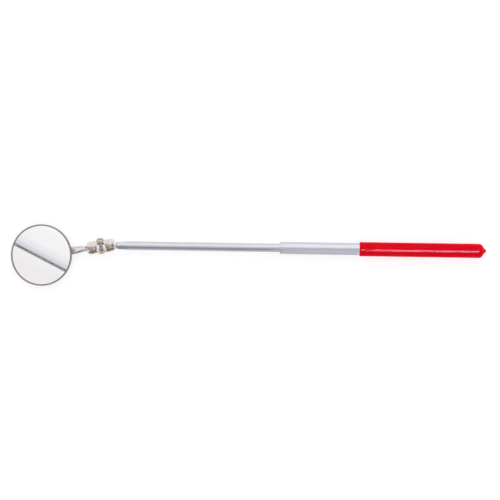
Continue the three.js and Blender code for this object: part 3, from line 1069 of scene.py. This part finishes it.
def stem_rings():
    """Sections of the stem from the front ball to its flattened tail, as rings about X."""
    start, full_width, end = 6.4, 31.0, 52.0
    flat_at = MIRROR_ALONG - MIRROR_RADIUS - 0.6
    # The neck's and the rod's radius, how much wider and lower the rod becomes on each side,
    # and the length of the tail's round end.
    neck_size, rod, widening, pressing, tip = 1.6, 2.9, 1.5, 2.0, 4.4
    # Stations lie close together where the neck grows into the rod, and at the tail's end.
    stations = [BALL_RADIUS - NECK_DEPTH, 4.3, 4.7, 5.1, 5.5, 5.8, 6.1, 6.4, 6.7, 7.1]
    stations += lengths(7.6, end - tip, 48)
    stations += [end - tip * math.cos(math.radians(a)) for a in lengths(6, 88, 18)]
    rings = []
    for along in stations:
        is_rod = smooth(along, 4.8, 6.9)
        widened = min(max((along - start) / (full_width - start), 0), 1)
        pressed = smooth(along, start + 2, flat_at)
        to_end = min(max((end - along) / tip, 0.0), 1)
        width = (rod + widening * widened) * is_rod + neck_size * (1 - is_rod)
        height = (rod - pressing * pressed) * is_rod + neck_size * (1 - is_rod)
        width *= math.sqrt(to_end * (2 - to_end))
        # Pressing leaves the flat a little crowned, with full round edges.
        power = 2 / (2 + 0.5 * pressed)
        ring = []
        for step in range(64):
            angle = 2 * math.pi * step / 64
            c, s = math.cos(angle), math.sin(angle)
            across = math.copysign(abs(c) ** power, c) * width
            up = math.copysign(abs(s) ** power, s) * height
            ring.append((-along, across, up))
        rings.append(ring)
    return rings


class INSPECTION_OT_head(bpy.types.Operator):
    """Make the mirror head: the stem, the pressed cup with its rolled rim, and the glass"""

    bl_idname = "inspection_mirror.head"
    bl_label = "Mirror head"

    def execute(self, context):
        nickel = nickel_plated_steel()
        rim_steel = pressed_rim_steel()
        silvered = silvered_float_glass()

        # The weld marks lie on the tail's underside, this far from the front ball.
        first_mark, last_mark, underside = 27, 46, 0.92
        blank = lofted("pressed_stem", stem_rings(), Matrix(), 50)
        mesh = grown("pressed_stem", blank, weld_tree(), HEAD, 50, {
            "Count": sizes().weld_marks,
            "Radius": sizes().weld_size,
            "Start": (-first_mark * MM, 0, -underside * MM),
            "End": (-last_mark * MM, 0, -underside * MM),
            "Material": nickel,
        })
        piece("pressed_stem", mesh, nickel, "stem")

        place = HEAD @ Matrix.Translation((-MIRROR_ALONG * MM, 0, 0))
        roll, wall = sizes().rim_roll / MM, 0.6
        outside, inside = MIRROR_RADIUS, MIRROR_RADIUS - wall
        # Levels of the cup's back, outside and inside, and of its rim, below and above.
        back, base, under, top = 1.2, 1.9, 5.6, 6.2
        lip = 1.4
        cup = rounded([
            (back, 0),
            (back, outside, 1.5),
            (top, outside, roll),
            (top + 0.02, outside - lip, 0.28),
            (under, outside - lip + 0.04, 0.2),
            (under, inside, 0.2),
            (base, inside, 0.5),
            (base, 0),
        ], 10)
        mesh = turned("pressed_mirror_cup", cup, place, "Z", 192)
        piece("pressed_mirror_cup", mesh, rim_steel, "mirror_cup")

        glass_back, glass_radius, bevel = GLASS_FACE - 2.0, outside - 0.9, 0.3
        glass = rounded([
            (glass_back, 0),
            (glass_back, glass_radius, 0.1),
            (GLASS_FACE - bevel, glass_radius, 0.1),
            (GLASS_FACE, glass_radius - bevel, 0.1),
            (GLASS_FACE, 0),
        ])
        mesh = turned("round_mirror_glass", glass, place, "Z", 192, 20)
        piece("round_mirror_glass", mesh, silvered, "mirror_glass")
        return {"FINISHED"}


class INSPECTION_OT_inner_works(bpy.types.Operator):
    """Give the CAD pieces that stay inside the tubes and the cup their finishes"""

    bl_idname = "inspection_mirror.inner_works"
    bl_label = "Inner works"

    def execute(self, context):
        brass = dulled_turned_brass()
        zinc = clear_zinc_plate()
        felt = pressed_wool_felt()
        finishes = {
            "tube_end_plug": zinc,
            "guide_bush": brass,
            "friction_shoe_1": brass,
            "friction_shoe_2": brass,
            "stop_collar": brass,
            "tube_tail_cap": brass,
            "backing_pad": felt,
        }
        for node, material in finishes.items():
            for holder in frame["nodes"][node].material_slots:
                holder.material = material
        return {"FINISHED"}


# ---- Stage ----

# Heights above the table, and the point under the camera, in metres.
CAMERA_HEIGHT, CARD_HEIGHT = 2.6, 0.9
CAMERA_AIM = Vector((0.0013, 0.0076, 0.0))


def glowing(tree, value, strength):
    """Ends a stage material's tree with a plain glow."""
    surface(tree, {"Color": value, "Strength": strength}, "ShaderNodeEmission")


def level_sheet(name, left, right, near, far, height, material):
    """A level rectangle of the stage, in metres."""
    corners = [(left, near, height), (right, near, height), (right, far, height), (left, far, height)]
    return stage_sheet(name, corners, material)


def stage_sheet(name, corners, material):
    """A flat part of the stage with four corners."""
    mesh = bpy.data.meshes.new(name)
    mesh.from_pydata(corners, [], [(0, 1, 2, 3)])
    mesh.materials.append(material)
    sheet = placed(name, mesh)
    return sheet


def only_reflected(card):
    """Leaves a card of the stage to reflections only."""
    card.visible_camera = False
    card.visible_diffuse = False
    card.visible_shadow = False
    card.visible_transmission = False


def paper_floor():
    """The pale paper under the tool, which glows so that its shadows stay faint."""
    material, tree, place = new_material("studio_paper")
    base = tuple(colours().floor)
    # Paper tooth is about 2 mm here, so that it shows at all.
    tooth = pattern(tree, place, (500, 500, 500), 3)
    surface(tree, {
        "Base Color": mixed(tree, tooth, shade(base, 0.99), base),
        "Roughness": 0.9,
        "Specular IOR Level": 0.1,
        "Emission Color": (1, 1, 1, 1),
        "Emission Strength": 0.69,
    })
    reach, level = 4.0, -0.0002
    level_sheet("floor", -reach, reach, -reach, reach, level, material)


def seen_in_glass(x, y, height):
    """Where the camera's line to a point of the glass ends up, after the glass, at a height.
    The point is in millimetres from the mirror's centre, in the head frame."""
    eye = CAMERA_AIM + Vector((0, 0, CAMERA_HEIGHT))
    point = HEAD @ Vector(((x - MIRROR_ALONG) * MM, y * MM, GLASS_FACE * MM))
    normal = HEAD.to_3x3() @ Vector((0, 0, 1))
    ray = (point - eye).normalized()
    bounced = ray - 2 * ray.dot(normal) * normal
    return point + bounced * ((height - point.z) / bounced.z)


def glass_card():
    """A pale card over the mirror, with a thin dark batten across it and a lilac fall-off to
    one side of the batten."""
    height = 1.1
    start, end = seen_in_glass(-22.9, 13.3, height), seen_in_glass(21.7, -18.4, height)
    run = (end - start).normalized()
    across = Vector((-run.y, run.x, 0))
    middle = (start + end) / 2
    material, tree, place = new_material("striped_card")
    offset = vector_math(tree, "SUBTRACT", place, middle)["Vector"]
    distance = vector_math(tree, "DOT_PRODUCT", offset, across)["Value"]
    reach, half_card = 0.1, 0.056
    ramp = add(tree, "ShaderNodeValToRGB", {"Fac": ranged(tree, distance, 0, 1, -reach, reach)})
    # How far each stop is from the batten's middle, in metres.
    stops = [
        (-0.030, "#EDE9EA"), (-0.0190, "#ECE9EA"), (-0.0140, "#ECEBEB"), (-0.0066, "#EDEDED"),
        (-0.0040, "#F2F2F2"), (-0.0019, "#F2F2F2"), (-0.0015, "#747477"), (0.0015, "#747477"),
        (0.0019, "#D6D5DC"), (0.0064, "#D9D8DE"), (0.0090, "#E8E7EC"), (0.0133, "#E9E8EC"),
        (0.0170, "#F1F0F1"), (0.0340, "#F2F1F1"), (0.0410, "#F7F7F7"),
    ]
    fill_ramp(ramp, [(0.5 + where / (2 * reach), linear(code)) for where, code in stops])
    glowing(tree, ramp.outputs["Color"], 1.13)
    corners = [
        middle + run * a * half_card + across * b * half_card
        for a, b in ((-1, -1), (1, -1), (1, 1), (-1, 1))
    ]
    only_reflected(stage_sheet("striped_card", corners, material))


def long_card(name, left, right, side, stops):
    """A card along the tool at CARD_HEIGHT, on the side of +Y or -Y. The stops give how brightly
    it glows at each lean, in degrees from straight up, seen from the tool. The card runs from
    the first stop to the last."""
    axis, near, far = REAR_BALL.y, stops[0][0], stops[-1][0]
    material, tree, place = new_material(name)
    parts = add(tree, "ShaderNodeSeparateXYZ", {"Vector": place}).outputs
    off_axis = math_of(tree, "SUBTRACT", parts["Y"], axis)
    lean = math_of(tree, "ARCTANGENT", math_of(tree, "MULTIPLY", off_axis, side / CARD_HEIGHT))
    near_lean, far_lean = math.radians(near), math.radians(far)
    ramp = add(tree, "ShaderNodeValToRGB", {"Fac": ranged(tree, lean, 0, 1, near_lean, far_lean)})
    fill_ramp(ramp, [
        ((where - near) / (far - near), (level * 0.99, level * 0.985, level * 1.03, 1))
        for where, level in stops
    ])
    glowing(tree, ramp.outputs["Color"], 1.0)
    start = axis + side * CARD_HEIGHT * math.tan(near_lean)
    end = axis + side * CARD_HEIGHT * math.tan(far_lean)
    only_reflected(level_sheet(name, left, right, start, end, CARD_HEIGHT, material))


def plain_card(name, left, right, near, far, height, value, strength):
    """A card with one even glow."""
    material, tree = new_material(name)[:2]
    glowing(tree, value, strength)
    only_reflected(level_sheet(name, left, right, near, far, height, material))


def area_light(name, place, aim, width, depth, power):
    """A rectangular light in watts, turned to face a point."""
    data = bpy.data.lights.new(name, "AREA")
    data.shape = "RECTANGLE"
    data.size = width
    data.size_y = depth
    data.energy = power
    lamp = placed(name, data)
    lamp.location = place
    lamp.rotation_euler = (Vector(aim) - Vector(place)).to_track_quat("-Z", "Y").to_euler()
    return lamp


def grip_strip():
    """A strip light that only the grip sees, which draws the thin highlight along the vinyl.
    The highlight starts 15 mm behind the grip's front, and the strip runs on past its tip."""
    height, near_lean, far_lean = CARD_HEIGHT, math.radians(2), math.radians(30)
    spread = 1 + height / CAMERA_HEIGHT
    start = (REAR_BALL.x + (GRIP_FRONT + 15) * MM) * spread
    end = (REAR_BALL.x + (GRIP_TIP + 60) * MM) * spread
    near, far = height * math.tan(near_lean), height * math.tan(far_lean)
    place = Vector(((start + end) / 2, REAR_BALL.y - (near + far) / 2, height))
    below = place - Vector((0, 0, height))
    lamp = area_light("grip_strip", place, below, end - start, far - near, 31)
    lamp.visible_diffuse = False
    seen_by = bpy.data.collections.new("seen_by_grip_strip")
    seen_by.objects.link(bpy.data.objects["dipped_grip"])
    lamp.light_linking.receiver_collection = seen_by


class INSPECTION_OT_stage(bpy.types.Operator):
    """Set up the pale floor, the soft lights, the reflection cards and the camera"""

    bl_idname = "inspection_mirror.stage"
    bl_label = "Stage"

    def execute(self, context):
        scene = context.scene
        scene.view_settings.view_transform = "Standard"
        world = bpy.data.worlds.new("studio")
        world.use_nodes = True
        world.node_tree.nodes.clear()
        glow = add(world.node_tree, "ShaderNodeBackground", {"Color": (1, 1, 1, 1), "Strength": 0.86})
        add(world.node_tree, "ShaderNodeOutputWorld", {"Surface": glow.outputs["Background"]})
        scene.world = world
        paper_floor()
        glass_card()
        # The white cards brighten the far side of the tubes. The grey ones draw the dark line
        # down their near side, which starts higher on the outer tube.
        reach, stem_reach = 0.55, 2.4
        split = (REAR_BALL.x + TUBE_MOUTH * MM) * (1 + CARD_HEIGHT / CAMERA_HEIGHT)
        # Each card's name, its ends along the tool, its side and its stops of (lean, glow).
        cards = (
            ("inner_white_card", -reach, split, 1, ((8, 0.92), (26, 1.34), (60, 1.22), (84, 1.1))),
            ("outer_white_card", split, reach, 1, ((8, 0.92), (26, 1.34), (60, 1.36), (84, 1.3))),
            ("inner_grey_card", -reach, split, -1, ((10, 0.84), (29, 0.47), (58, 0.4), (86, 0.62))),
            ("outer_grey_card", split, reach, -1, ((2, 0.8), (12, 0.72), (50, 0.86), (86, 0.76))),
            # This one draws a dark reflection along the lower edge of the stem.
            ("stem_grey_card", -stem_reach, -reach, -1, ((30, 0.6), (40, 0.3), (86, 0.3))),
        )
        for card in cards:
            long_card(*card)
        # A grey strip just over the floor, beside the tubes, dulls their lowest reflections: painted
        # shade that stands in for the floor's shadow there, seen only in reflections.
        first, last = REAR_BALL.x + 0.012, REAR_BALL.x + GRIP_FRONT * MM
        near_edge, far_edge = REAR_BALL.y - 0.012, REAR_BALL.y - 0.6
        shaded = (0.74, 0.735, 0.78, 1)
        plain_card("painted_floor_shade_card", first, last, far_edge, near_edge, 0.0001, shaded, 1.0)
        # A pale card over the stem and the mirror's rim.
        plain_card("pale_card", -stem_reach, -0.36, -0.3, 0.5, 1.2, (1, 0.985, 0.99, 1), 1.2)
        # A soft box beyond the tool.
        area_light("far_soft_box", (0, 1.15, 0.85), (0, 0, 0), 1.8, 0.9, 4.5).visible_glossy = False
        grip_strip()

        # The camera looks straight down and sees this width of the table.
        seen_width, turn = 0.466, math.radians(0.87)
        data = bpy.data.cameras.new("camera")
        data.sensor_width = 36
        data.lens = data.sensor_width * CAMERA_HEIGHT / seen_width
        data.clip_end = 20
        camera = placed("camera", data)
        camera.location = CAMERA_AIM + Vector((0, 0, CAMERA_HEIGHT))
        camera.rotation_euler = (0, 0, turn)
        scene.camera = camera
        return {"FINISHED"}


class INSPECTION_PT_pieces(bpy.types.Panel):
    """The pieces of the inspection mirror, in the order that they are made"""

    bl_idname = "INSPECTION_PT_pieces"
    bl_label = "Inspection mirror"
    bl_space_type = "VIEW_3D"
    bl_region_type = "UI"
    bl_category = "Inspection mirror"

    def draw(self, context):
        layout = self.layout
        for operator in OPERATORS:
            layout.operator(operator.bl_idname)
        for group in (sizes(), colours()):
            box = layout.box()
            for key in group.bl_rna.properties.keys():
                if key not in ("rna_type", "name"):
                    box.prop(group, key)


OPERATORS = (
    INSPECTION_OT_tubes,
    INSPECTION_OT_grip,
    INSPECTION_OT_balls,
    INSPECTION_OT_plates,
    INSPECTION_OT_fastening,
    INSPECTION_OT_head,
    INSPECTION_OT_inner_works,
    INSPECTION_OT_stage,
)
CLASSES = (InspectionMirrorSizes, InspectionMirrorColours, *OPERATORS, INSPECTION_PT_pieces)


def register():
    for each in CLASSES:
        bpy.utils.register_class(each)
    bpy.types.Scene.inspection_mirror_sizes = bpy.props.PointerProperty(type=InspectionMirrorSizes)
    bpy.types.Scene.inspection_mirror_colours = bpy.props.PointerProperty(type=InspectionMirrorColours)


def unregister():
    del bpy.types.Scene.inspection_mirror_colours
    del bpy.types.Scene.inspection_mirror_sizes
    for each in reversed(CLASSES):
        bpy.utils.unregister_class(each)


def main():
    register()
    bpy.ops.inspection_mirror.tubes()
    bpy.ops.inspection_mirror.grip()
    bpy.ops.inspection_mirror.balls()
    bpy.ops.inspection_mirror.plates()
    bpy.ops.inspection_mirror.fastening()
    bpy.ops.inspection_mirror.head()
    bpy.ops.inspection_mirror.inner_works()
    bpy.ops.inspection_mirror.stage()
    bpy.context.view_layer.update()


if __name__ == "__main__":
    main()
